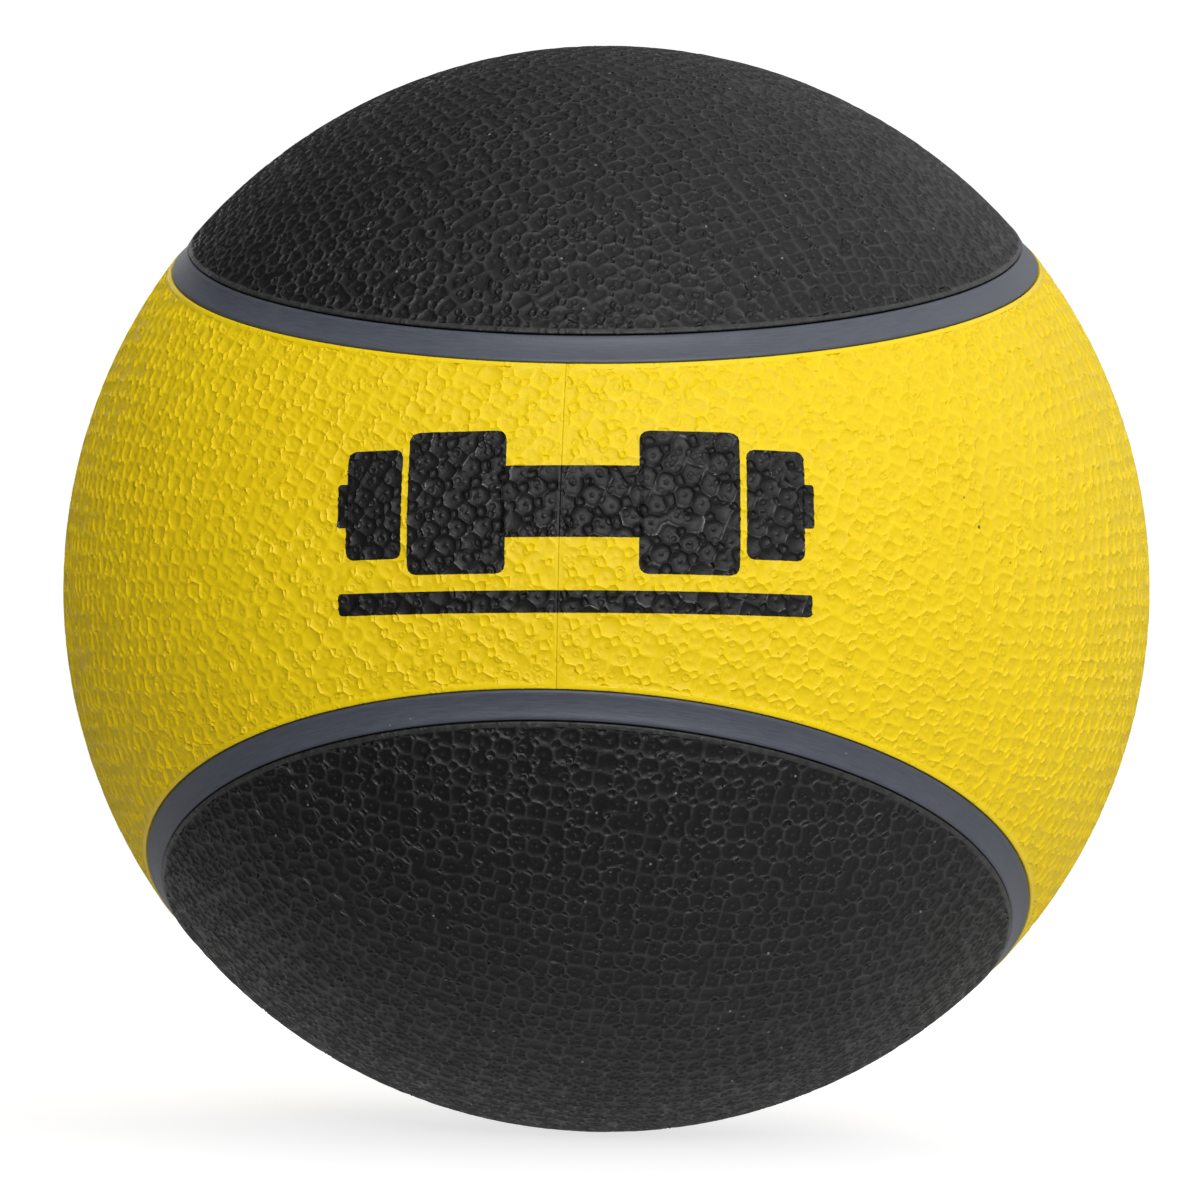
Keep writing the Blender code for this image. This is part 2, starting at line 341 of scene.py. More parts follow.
class Skin:
    """Collects points, as a direction and a depth below the ball's surface, and triangles."""

    OUTSIDE, WALL, INSIDE = 0, 1, 2

    def __init__(self):
        self.directions = []
        self.depths = []
        self.count = 0
        self.faces = []
        self.zones = []
        self.zone = self.OUTSIDE

    def add(self, directions, depths):
        directions = np.atleast_2d(directions)
        depths = np.broadcast_to(depths, len(directions))
        self.directions.append(unit(directions))
        self.depths.append(depths)
        first = self.count
        self.count += len(directions)
        return list(range(first, self.count))

    def face(self, a, b, c):
        self.faces.append((a, b, c))
        self.zones.append(self.zone)

    def band(self, upper, lower):
        """Triangles between two closed rings of the same length."""
        for i in range(len(upper)):
            self.face(upper[i - 1], upper[i], lower[i])
            self.face(upper[i - 1], lower[i], lower[i - 1])

    def fan(self, ring, centre):
        for i in range(len(ring)):
            self.face(ring[i - 1], ring[i], centre)

    def zipper(self, ring, where, other, other_where):
        """Triangles between two closed rings, matched by places along a lap from 0 to 1."""
        ring, where = start_lap(ring, where)
        other, other_where = start_lap(other, other_where)
        i = j = 0
        while i < len(ring) or j < len(other):
            next_i = where[i + 1] if i < len(ring) else inf
            next_j = other_where[j + 1] if j < len(other) else inf
            here, there = ring[i % len(ring)], other[j % len(other)]
            if next_i <= next_j:
                i += 1
                self.face(here, ring[i % len(ring)], there)
            else:
                j += 1
                self.face(here, other[j % len(other)], there)


def start_lap(ring, where):
    """Turn a ring's list so that its places start near 0 and rise, and add the closing one."""
    where = np.asarray(where, float) % 1
    first = int(np.argmin(where))
    ring = ring[first:] + ring[:first]
    where = np.concatenate((where[first:], where[:first]))
    where = np.maximum.accumulate(where)
    return ring, list(where) + [where[0] + 1]


def axes_round(direction, aside=(0.0, 0.3, 1.0)):
    """Two axes square to a direction, or to each of several."""
    side = unit(np.cross(direction, aside))
    return side, np.cross(direction, side)


def spokes_round(side, up, count):
    """The turns and the directions of evenly spaced spokes."""
    turns = np.arange(count) / count * 2 * pi
    return turns, np.cos(turns)[:, None] * side + np.sin(turns)[:, None] * up


def lap_angles(directions, centre):
    """Where directions lie round a centre, as a share of a lap."""
    side, up = axes_round(centre)
    return np.arctan2(directions @ up, directions @ side) / (2 * pi) % 1


def rising(ring, where):
    """A ring and its places along a lap, both turned round if the places mostly fall."""
    if np.sum(np.diff(where) < 0) > len(where) / 2:
        return ring[::-1], where[::-1]
    return ring, where


def store_relief(mesh, depths):
    """Each point's height in the grain, for the materials: 0 on its floor, 1 on its crests."""
    relief = np.clip(1 - depths / RIDGE_HEIGHT, 0, 1)
    store_numbers(mesh, "relief", relief.astype(np.float32))


def store_numbers(mesh, name, values):
    mesh.attributes.new(name, "FLOAT", "POINT").data.foreach_set("value", values)


def corner_points(mesh):
    """The point at each corner of each face, in one row."""
    points = np.zeros(len(mesh.loops), int)
    mesh.loops.foreach_get("vertex_index", points)
    return points


def unwrap(index, count):
    """Numbers round a closed row, with its start counted as its end in the face that closes it."""
    closes = np.ptp(index, axis=1, keepdims=True) > 1
    return np.where(closes & (index == 0), count, index)


def store_layout(mesh, u, v):
    """The texture layout OFBake, which the materials can be baked into."""
    layer = mesh.uv_layers.new(name="OFBake")
    layer.data.foreach_set("uv", np.stack((u, v), -1).astype(np.float32).ravel())


def solid_mesh(name, places, faces, sharp=60):
    """A smooth-shaded mesh with its faces pointing out."""
    mesh = bpy.data.meshes.new(name)
    mesh.from_pydata(np.asarray(places).tolist(), [], faces)
    mesh.update()
    bm = bmesh.new()
    bm.from_mesh(mesh)
    bmesh.ops.recalc_face_normals(bm, faces=bm.faces)
    if bm.calc_volume(signed=True) < 0:
        bmesh.ops.reverse_faces(bm, faces=bm.faces)
    finish_mesh(bm, mesh, sharp)
    return mesh


def finish_mesh(bm, mesh, sharp):
    bm.to_mesh(mesh)
    bm.free()
    mesh.shade_smooth()
    mesh.set_sharp_from_angle(angle=radians(sharp))


def torus_faces(count, size):
    """Quads of a closed row of closed rings."""
    faces = []
    for i in range(count):
        j = (i + 1) % count
        for k in range(size):
            m = (k + 1) % size
            faces.append((i * size + k, i * size + m, j * size + m, j * size + k))
    return faces


def cover_mesh(name, skin, placement, centre):
    """The mesh of a skin, and its points, faces and zones for the printing."""
    directions = np.concatenate(skin.directions)
    depths = np.concatenate(skin.depths)
    places = directions * (BALL_R - depths)[:, None] @ np.array(placement).T
    faces = np.array(skin.faces)
    distinct = (faces != np.roll(faces, 1, axis=1)).all(1)
    faces = faces[distinct]
    zones = np.array(skin.zones)[distinct]
    mesh = solid_mesh(name, places, faces.tolist())
    store_relief(mesh, depths)
    lay_out_cover(mesh, directions, depths, zones, centre)
    return mesh, places, faces, zones


def lay_out_cover(mesh, directions, depths, zones, centre):
    """Texture layout: the outside as a disc, the inside as a small one, the edge as a strip."""
    points = corner_points(mesh).reshape(-1, 3)
    lap = lap_angles(directions, centre)
    away = np.arccos(np.clip(directions @ centre, -1, 1)) / COVER_REACH
    disc = np.stack((np.cos(lap * 2 * pi), np.sin(lap * 2 * pi)), 1) * away[:, None]
    outside = 0.24 + 0.76 * (0.5 + 0.5 * disc)
    inside = 0.22 * (0.5 + 0.5 * disc)
    round_edge = lap[points]
    past_start = round_edge - round_edge.min(1, keepdims=True) > 0.5
    round_edge = np.where(past_start, round_edge - 1, round_edge)
    strip_u = 0.25 + 0.74 * (round_edge * 0.98 + 0.02)
    strip = np.stack((strip_u, 0.2 * depths[points] / COVER_THICKNESS), 2)
    places = np.where((zones == Skin.OUTSIDE)[:, None, None], outside[points], strip)
    places = np.where((zones == Skin.INSIDE)[:, None, None], inside[points], places)
    store_layout(mesh, places[..., 0], places[..., 1])


# ---------------------------------------------------------------- cover

OUTLINE_STEPS = 90
JOINT_STEPS = 34
WALL_RING_DEPTH = 1.6 * MM
BACK_RINGS = 10
HALVINGS = 24                  # to find where a wall crosses the grain's border
COVER_REACH = radians(104)     # from a cover's middle to its farthest edge
COVER_EDGE = TRIM_WIDTH / 2 + 0.08 * MM
# Distance in from the trim-side edge and depth there, then the same beside the joint, in mm
EDGE_ROUNDING = (
    (0.55, 0.00, 0.34, 0.20),
    (0.36, 0.008, 0.22, 0.20),
    (0.22, 0.03, 0.12, 0.205),
    (0.09, 0.09, 0.05, 0.22),
    (0.02, 0.19, 0.01, 0.26),
    (0.00, 0.34, 0.00, 0.36),
)
JOINT_HALF_GAP = 0.012 * MM
JOINT_MARGIN = 0.42 * MM
JOINT_DEPTH = 0.19 * MM


def outline(edge_inset, joint_inset):
    """Directions round half a panel, from the joint's upper end by the tip and back."""
    shift = asin((COVER_EDGE + edge_inset) / BALL_R)
    joint_x = (JOINT_HALF_GAP + joint_inset) / BALL_R
    joint_turn = asin(joint_x / sin(LOBE_RADIUS + shift))
    neck_turns = np.linspace(joint_turn, ARC_HALF_TURN, OUTLINE_STEPS, endpoint=False)
    tip_turns = np.linspace(ARC_HALF_TURN, 0, OUTLINE_STEPS + 1)
    upper = np.concatenate(
        (edge_directions(0, neck_turns, shift), edge_directions(1, tip_turns, shift))
    )
    lower = upper[-2::-1] * (1, 1, -1)
    z = np.linspace(lower[-1, 2], upper[0, 2], JOINT_STEPS)[1:-1]
    y = -np.sqrt(1 - z**2 - joint_x**2)
    joint = np.stack((np.full_like(z, joint_x), y, z), 1)
    return np.concatenate((upper, lower, joint))


def margins(directions, has_valve):
    """How far inside the grain's borders directions lie: trim, joint and valve."""
    trim = seam_distance(directions) - COVER_EDGE - GRAIN_MARGIN
    joint = directions[:, 0] * BALL_R - JOINT_MARGIN
    parts = [trim, joint]
    if has_valve:
        parts.append(np.arccos(np.clip(directions[:, 0], -1, 1)) * BALL_R - VALVE_MARGIN)
    return np.stack(parts)


def border_points(directions, ends, has_valve):
    """Where walls that leave the grain's area cross its border."""
    inside, outside = directions[ends[:, 0]], directions[ends[:, 1]]
    for _ in range(HALVINGS):
        middle = unit(inside + outside)
        within = margins(middle, has_valve).min(0) > 0
        inside = np.where(within[:, None], middle, inside)
        outside = np.where(within[:, None], outside, middle)
    return unit(inside + outside)


def fill_cell(skin, ring, directions, large, luck):
    """The ground of one cell inside its crest, with a pip in most of the large ones."""
    centre = unit(directions.mean(0))
    spread = np.linalg.norm(directions - centre, axis=1).mean() * BALL_R
    foot = RIDGE_FOOT if large else RING_FOOT
    floor = RIDGE_HEIGHT * (1 + FLOOR_LUCK * (luck[0] - 0.5))
    if spread < LEAST_CELL * foot:
        skin.fan(ring, skin.add(centre, 0.5 * floor)[0])
        return
    reach = np.linalg.norm(directions - centre, axis=1) * BALL_R
    even = np.minimum(reach, ROUNDNESS * reach.mean() + (1 - ROUNDNESS) * reach)
    feet = centre + (directions - centre) * ((even - foot) / reach)[:, None]
    inner = skin.add(feet, FOOT_DEPTH * floor)
    skin.band(ring, inner)
    if not large or luck[1] > PIP_SHARE or spread < PIP_ROOM:
        skin.fan(inner, skin.add(centre, floor)[0])
        return
    side, up = axes_round(centre, ASIDE)
    centre = centre + (side * (luck[2] - 0.5) + up * (luck[0] - 0.5)) * PIP_SHIFT / BALL_R
    turns, spokes = spokes_round(side, up, PIP_SIDES)
    size = (PIP_RADIUS + PIP_LUCK * (luck[2] - 0.5) * MM) / BALL_R
    base = skin.add(centre + spokes * size, floor)
    tip = skin.add(centre, floor - PIP_HEIGHT * (0.8 + 0.4 * luck[3]))[0]
    where = np.arctan2((feet - centre) @ up, (feet - centre) @ side) / (2 * pi) % 1
    if np.sum(np.diff(where) < 0) > 1:
        where = -where % 1
        skin.zipper(inner, where, base[::-1], (-turns[::-1] / (2 * pi)) % 1)
    else:
        skin.zipper(inner, where, base, turns / (2 * pi))
    skin.fan(base, tip)


def grain_area(skin, grain, turned, has_valve):
    """Fill the skin with the grain inside the borders, and return its border rings."""
    directions = grain.points @ turned.T
    corner_count = len(grain.corners)
    within = (margins(directions[:corner_count], has_valve) > 0).all(0)

    ends = grain.ends
    crossing = within[ends[:, 0]] != within[ends[:, 1]]
    pairs = ends[crossing]
    pairs = np.where(within[pairs[:, :1]], pairs, pairs[:, ::-1])
    crossings = border_points(directions, pairs, has_valve)
    beside_joint = margins(crossings, has_valve).argmin(0) == 1
    crossing_ids = skin.add(crossings, np.where(beside_joint, JOINT_DEPTH, 0.0))
    crossing_of = {}
    for (a, b), i in zip(pairs.tolist(), crossing_ids):
        crossing_of[min(a, b), max(a, b)] = i
    crossing_start = crossing_ids[0]

    local = {}
    steps = {}
    luck = rng.random((len(grain.cells), 4))

    def local_id(point):
        if point not in local:
            depth = RIDGE_HEIGHT * (1 - grain.heights[point])
            local[point] = skin.add(directions[point], depth)[0]
        return local[point]

    for (large, ring), chance in zip(grain.cells, luck):
        flags = [bool(within[corner]) for corner in ring]
        if not any(flags):
            continue
        ids, places = [], []
        exits, entries = [], []
        for k, a in enumerate(ring):
            b = ring[(k + 1) % len(ring)]
            if within[a]:
                ids.append(local_id(a))
                places.append(directions[a])
            if within[a] and within[b]:
                for point in grain.wall_points(a, b):
                    ids.append(local_id(point))
                    places.append(directions[point])
            elif within[a] != within[b]:
                crossing_id = crossing_of[min(a, b), max(a, b)]
                ids.append(crossing_id)
                places.append(crossings[crossing_id - crossing_start])
                if within[a]:
                    exits.append((len(ids) - 1, crossing_id))
                else:
                    entries.append((len(ids) - 1, crossing_id))
        for position, crossing_id in exits:
            after = [e for e in entries if e[0] > position] or entries
            steps[crossing_id] = min(after)[1]
        fill_cell(skin, ids, np.array(places), large, chance)
    return follow(steps)


def follow(steps):
    """Closed rings from a table of each point's next one."""
    rings = []
    left = dict(steps)
    while left:
        first = next(iter(left))
        ring = []
        point = first
        while point in left:
            ring.append(point)
            point = left.pop(point)
        rings.append(ring)
    return rings


def places_along(points, path):
    """How far along a closed path each point's nearest place on it is, as a share."""
    ahead = np.roll(path, -1, axis=0) - path
    lengths = np.linalg.norm(ahead, axis=1)
    starts = np.concatenate(((0,), np.cumsum(lengths)[:-1]))
    total = lengths.sum()
    found = []
    for point in points:
        share = np.clip(((point - path) * ahead).sum(1) / lengths**2, 0, 1)
        gaps = np.linalg.norm(path + share[:, None] * ahead - point, axis=1)
        nearest = int(np.argmin(gaps))
        found.append((starts[nearest] + share[nearest] * lengths[nearest]) / total)
    return np.array(found), starts / total


VALVE_SIDES = 72
# Radius and depth down the valve hole's surround and wall
VALVE_SURROUND = (
    (8.9, 0.0), (8.6, 0.03), (8.4, 0.12), (8.25, 0.22), (7.0, 0.25), (6.5, 0.22), (6.25, 0.12),
    (6.0, 0.07), (5.7, 0.10), (5.45, 0.25), (5.32, 0.5), (5.30, 0.9), (5.30, 2.2), (5.30, 3.5),
)


def cover_half(name, grain, placement, turn_seed, has_valve=False):
    """Half a dog-bone panel with its grain, edges, walls and back. The seed turns the grain."""
    skin = Skin()
    axis = Vector((0.3 + turn_seed, 1, 0.45 * turn_seed))
    spin = Matrix.Rotation(0.37 + 1.9 * turn_seed, 3, axis)
    rings = grain_area(skin, grain, np.array(spin), has_valve)
    rings.sort(key=len, reverse=True)
    all_directions = np.concatenate(skin.directions)

    joint_start = 4 * OUTLINE_STEPS
    paths, edge_rings = [], []
    for edge_inset, edge_depth, joint_inset, joint_depth in EDGE_ROUNDING:
        path = outline(edge_inset * MM, joint_inset * MM)
        depth = np.full(len(path), edge_depth * MM)
        depth[joint_start + 1 :] = joint_depth * MM
        depth[0] = depth[joint_start] = max(edge_depth, joint_depth) * MM
        paths.append(path)
        edge_rings.append(skin.add(path, depth))
    where, path_where = places_along(all_directions[rings[0]], paths[0])
    skin.zipper(*rising(rings[0], where), edge_rings[0], path_where)
    for upper, lower in zip(edge_rings, edge_rings[1:]):
        skin.band(upper, lower)

    skin.zone = Skin.WALL
    path = outline(0, 0)
    above = edge_rings[-1]
    for depth in (WALL_RING_DEPTH, COVER_THICKNESS):
        below = skin.add(path, depth)
        skin.band(above, below)
        above = below

    skin.zone = Skin.INSIDE
    centre = np.array((1.0, 0, 0))
    for step in range(1, BACK_RINGS):
        share = step / BACK_RINGS
        inner_path = unit(path) * (1 - share) + centre * share
        below = skin.add(inner_path, COVER_THICKNESS)
        skin.band(above, below)
        above = below
    if has_valve:
        valve_hole(skin, rings[1], all_directions, above, inner_path, centre)
    else:
        skin.fan(above, skin.add(centre, COVER_THICKNESS)[0])
    return cover_mesh(name, skin, placement, centre)


def valve_hole(skin, border, all_directions, inner_ring, inner_path, centre):
    """The smooth surround of the valve, the hole's wall, and the back round it."""
    turns, spokes = spokes_round(*axes_round(centre), VALVE_SIDES)
    skin.zone = Skin.OUTSIDE
    above = None
    for radius, depth in VALVE_SURROUND:
        flat = radius * MM / BALL_R
        ring = skin.add(sqrt(1 - flat**2) * centre + flat * spokes, depth * MM)
        if above is None:
            where = lap_angles(all_directions[border], centre)
            skin.zipper(*rising(border, where), ring, turns / (2 * pi))
        else:
            skin.zone = Skin.WALL if depth > 1 else Skin.OUTSIDE
            skin.band(above, ring)
        above = ring
    skin.zone = Skin.INSIDE
    where = lap_angles(inner_path, centre)
    skin.zipper(*rising(inner_ring, where), above, turns / (2 * pi))


# ---------------------------------------------------------------- other pieces

def link_piece(mesh, material, node=None):
    """Place a finished mesh in the scene as a piece, which stands for a CAD node if it names one."""
    piece = bpy.data.objects.new(mesh.name, mesh)
    bpy.context.scene.collection.objects.link(piece)
    mesh.materials.append(material)
    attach(piece, "root")
    if node:
        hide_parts(node)


ARC_SECTIONS = 220
TRIM_ROWS = 8                  # rows that the strip's texture layout is folded into
TRIM_UNEVENNESS = 0.012 * MM
# Across the strip, and depth below the ball's surface, from one side to the middle, in mm
TRIM_PROFILE = (
    (2.86, 3.50), (2.87, 1.40), (2.87, 0.70), (2.84, 0.50), (2.76, 0.36), (2.62, 0.26), (2.42, 0.20),
    (2.20, 0.19), (1.95, 0.22), (1.60, 0.30), (1.10, 0.38), (0.55, 0.42), (0.00, 0.43),
)


def trim_strip(material):
    """The grey strip: rounded shoulders, a shallow hollow, and a slight unevenness along it."""
    side = list(TRIM_PROFILE)
    profile = side + [(-across, depth) for across, depth in side[-2::-1]]
    rings = []
    for arc in range(4):
        way = 1 if arc % 2 == 0 else -1
        turns = way * np.linspace(-ARC_HALF_TURN, ARC_HALF_TURN, ARC_SECTIONS, endpoint=False)
        rings.append([])
        for across, depth in profile:
            directions = edge_directions(arc, turns, asin(across * MM / BALL_R))
            rings[-1].append(directions * (BALL_R - depth * MM))
    places = np.concatenate([np.stack(ring, 1) for ring in rings])
    sections, size = places.shape[:2]
    lap = np.arange(sections) / sections * 2 * pi
    uneven = sum(rng.uniform(-1, 1) * np.sin(k * lap + rng.uniform(0, 6)) for k in range(9, 60, 3))
    places = places + unit(places) * (TRIM_UNEVENNESS * uneven)[:, None, None]
    faces = torus_faces(sections, size)
    mesh = solid_mesh("trim_strip_moulded", places.reshape(-1, 3), faces, 50)
    store_numbers(mesh, "across", np.tile([point[0] for point in profile], sections))
    store_numbers(mesh, "around", np.repeat(np.arange(sections) / sections, size))
    lay_out_rows(mesh, sections, size)
    link_piece(mesh, material, "trim_strip")


def lay_out_rows(mesh, sections, size):
    """Texture layout of a swept ring: its length folded into rows, its profile across each."""
    points = corner_points(mesh).reshape(-1, 4)
    section, point = unwrap(points // size, sections), unwrap(points % size, size)
    row_length = sections / TRIM_ROWS
    row = np.floor(section.min(1, keepdims=True) / row_length)
    u = 0.01 + 0.98 * (section / row_length - row)
    v = (row + 0.04 + 0.92 * point / size) / TRIM_ROWS
    store_layout(mesh, u, v)


def lathe(name, profile, sides):
    """A closed profile of (radius, height) points in mm, turned about the Z axis."""
    turns = np.arange(sides) / sides * 2 * pi
    places = []
    for radius, height in profile:
        ring = np.stack((radius * np.cos(turns), radius * np.sin(turns), np.full(sides, height)), 1)
        places.append(ring * MM)
    mesh = solid_mesh(name, np.concatenate(places), torus_faces(len(profile), sides), 40)
    points = corner_points(mesh).reshape(-1, 4)
    ring, side = unwrap(points // sides, len(profile)), unwrap(points % sides, sides)
    store_layout(mesh, 0.01 + 0.98 * side / sides, 0.01 + 0.98 * ring / len(profile))
    return mesh


# Radius and height of the valve's two pieces, in mm
VALVE_HOUSING = (
    (2.30, 86.3), (2.30, 99.6), (3.30, 100.2), (3.30, 101.8), (2.30, 102.4), (2.30, 112.55),
    (2.42, 112.95), (2.60, 113.45), (2.80, 113.80), (3.02, 113.96), (3.25, 114.00), (4.50, 114.00),
    (4.68, 113.97), (4.81, 113.87), (4.88, 113.72), (4.90, 113.50), (4.90, 89.00), (5.05, 88.55),
    (5.50, 88.24), (8.60, 87.77), (8.90, 87.64), (9.00, 87.45), (9.00, 86.60), (8.90, 86.40),
    (8.60, 86.30),
)
VALVE_CORE = (
    (0.70, 82.0), (0.70, 112.20), (0.85, 112.50), (1.15, 112.80), (1.45, 112.95), (1.65, 112.95),
    (1.85, 112.86), (2.00, 112.62), (2.00, 102.40), (2.30, 102.25), (2.85, 101.80), (3.00, 101.40),
    (3.00, 100.60), (2.85, 100.20), (2.30, 99.75), (2.00, 99.60), (2.00, 83.4), (1.80, 82.7),
    (1.40, 82.2), (1.00, 82.0),
)


# ---------------------------------------------------------------- printed mark

PRINT_AZIMUTH = radians(1.1)
PRINT_ELEVATION = radians(2.0)
PRINT_TILT = radians(1.2)
PRINT_SPAN = 92 * MM           # of its texture layout
INK_THICKNESS = 0.03 * MM
NEAR = 3                       # mm beyond a block, to catch the facets on its edge
ROUND_CORNER = ((1.0, 0.0), (0.5, 0.134), (0.134, 0.5), (0.0, 1.0))


def print_axes():
    """Right, out and up at the middle of the print."""
    turn = Matrix.Rotation(PRINT_AZIMUTH, 3, "Z") @ Matrix.Rotation(-PRINT_TILT, 3, "Y")
    return [np.array(turn @ Vector(axis)) for axis in ((1, 0, 0), (0, -1, 0), (0, 0, 1))]


def mark_blocks():
    """A dumbbell and a plain stripe below it: centre, width, height and corner size, in mm."""
    blocks = [((0, 0), 26.0, 13.0, 0.4)]
    for side in (-1, 1):
        blocks.append(((side * 21.3, 0), 18.4, 26.0, 1.6))
        blocks.append(((side * 37.2, 0), 11.0, 20.0, 1.4))
        blocks.append(((side * 43.4, 0), 2.2, 8.0, 0.5))
    blocks.append(((0, -18.0), 89.0, 4.0, 0.6))
    return blocks


def printed_mark(material, covers):
    """The ink film: the cover's own facets inside each block, lifted and given a thickness."""
    right, out, up = print_axes()
    ink = bmesh.new()
    centre_height = sin(PRINT_ELEVATION) * BALL_R
    for places, faces, zones in covers:
        outer = faces[zones == Skin.OUTSIDE]
        middles = places[outer].mean(1)
        azimuth = np.arctan2(middles @ right, middles @ out) * BALL_R / MM
        height = (middles @ up - centre_height) / MM
        for (u, v), width, tall, corner in mark_blocks():
            near = (np.abs(azimuth - u) < width / 2 + NEAR) & (np.abs(height - v) < tall / 2 + NEAR)
            near &= middles @ out > 0
            if near.any():
                planes = block_planes(u, v, width, tall, corner, centre_height)
                add_facets(ink, places, outer[near], planes)
    inward = [face for face in ink.faces if face.normal.dot(face.calc_center_median()) < 0]
    bmesh.ops.reverse_faces(ink, faces=inward)
    ink.normal_update()
    for vertex in ink.verts:
        vertex.co += vertex.co.normalized() * INK_THICKNESS
    underside = {vertex for face in ink.faces for vertex in face.verts}
    bmesh.ops.extrude_face_region(ink, geom=ink.faces[:])
    for vertex in underside:
        vertex.co -= vertex.co.normalized() * 2 * INK_THICKNESS
    bmesh.ops.recalc_face_normals(ink, faces=ink.faces)
    mesh = bpy.data.meshes.new("printed_mark")
    finish_mesh(ink, mesh, 60)

    places = np.zeros(3 * len(mesh.vertices))
    mesh.vertices.foreach_get("co", places)
    places = places.reshape(-1, 3)
    store_relief(mesh, BALL_R - np.linalg.norm(places, axis=1))
    corners = places[corner_points(mesh)]
    azimuth = np.arctan2(corners @ right, corners @ out) * BALL_R
    store_layout(mesh, 0.5 + azimuth / PRINT_SPAN, 0.5 + corners @ up / PRINT_SPAN)
    link_piece(mesh, material)


def add_facets(ink, places, faces, planes):
    """Add facets to the ink, cut to what is inside all the planes."""
    used, corners = np.unique(faces, return_inverse=True)
    bm = bmesh.new()
    verts = [bm.verts.new(place) for place in places[used]]
    for a, b, c in corners.reshape(-1, 3).tolist():
        bm.faces.new((verts[a], verts[b], verts[c]))
    for place, normal in planes:
        bmesh.ops.bisect_plane(
            bm, geom=bm.verts[:] + bm.edges[:] + bm.faces[:],
            plane_co=place, plane_no=normal, clear_outer=True,
        )
    bm.normal_update()
    if bm.faces:
        mesh = bpy.data.meshes.new("ink_part")
        bm.to_mesh(mesh)
        ink.from_mesh(mesh)
        bpy.data.meshes.remove(mesh)
    bm.free()


def block_planes(u, v, width, tall, corner, centre_height):
    """Cutting planes of a block: upright ones through the ball's axis, level ones, and corners."""
    right, out, up = print_axes()

    def place(across, height):
        angle = across * MM / BALL_R
        z = centre_height + height * MM
        flat = sqrt(BALL_R**2 - z**2)
        return (sin(angle) * right + cos(angle) * out) * flat + up * z

    planes = []
    for side in (-1, 1):
        edge = u + side * width / 2
        angle = edge * MM / BALL_R
        planes.append((place(edge, v), side * (cos(angle) * right - sin(angle) * out)))
        planes.append((place(u, v + side * tall / 2), side * up))
    for side_u, side_v in ((-1, -1), (-1, 1), (1, -1), (1, 1)):
        x, y = u + side_u * width / 2, v + side_v * tall / 2
        points = [place(x - side_u * corner * a, y - side_v * corner * b) for a, b in ROUND_CORNER]
        for first, second in zip(points, points[1:]):
            normal = unit(np.cross(second - first, first + second))
            outward = normal @ (side_u * right + side_v * up) > 0
            planes.append((first, normal if outward else -normal))
    return planes


# ---------------------------------------------------------------- materials

class Nodes:
    """A node tree, with short ways to add the nodes it needs."""

    def __init__(self, tree):
        self.tree = tree

    def put(self, socket, value):
        """Link an input to another node's output, or set it. A colour is three numbers."""
        if isinstance(value, bpy.types.NodeSocket):
            self.tree.links.new(value, socket)
        else:
            socket.default_value = (*value, 1) if socket.type == "RGBA" else value

    def node(self, kind, inputs=(), **settings):
        made = self.tree.nodes.new(kind)
        for key, value in settings.items():
            setattr(made, key, value)
        for key, value in dict(inputs).items():
            self.put(made.inputs[key], value)
        return made

    def levels(self, value, low, high, to_low=0.0, to_high=1.0, curve="LINEAR"):
        inputs = {"Value": value, "From Min": low, "From Max": high}
        inputs |= {"To Min": to_low, "To Max": to_high}
        return self.node("ShaderNodeMapRange", inputs, interpolation_type=curve).outputs["Result"]

    def math(self, operation, a, b=0.0):
        return self.node("ShaderNodeMath", {0: a, 1: b}, operation=operation).outputs[0]

    def vector(self, operation, a, b=(0, 0, 0)):
        return self.node("ShaderNodeVectorMath", {0: a, 1: b}, operation=operation).outputs["Value"]

    def mix(self, factor, first, second):
        return self.node("ShaderNodeMix", {0: factor, 6: first, 7: second}, data_type="RGBA").outputs[2]

    def mix_numbers(self, factor, first, second):
        return self.node("ShaderNodeMix", {0: factor, 2: first, 3: second}, data_type="FLOAT").outputs[0]

    def to_camera(self):
        """1 for what the camera sees directly, 0 for what lights the ball or is reflected in it."""
        return self.node("ShaderNodeLightPath").outputs["Is Camera Ray"]


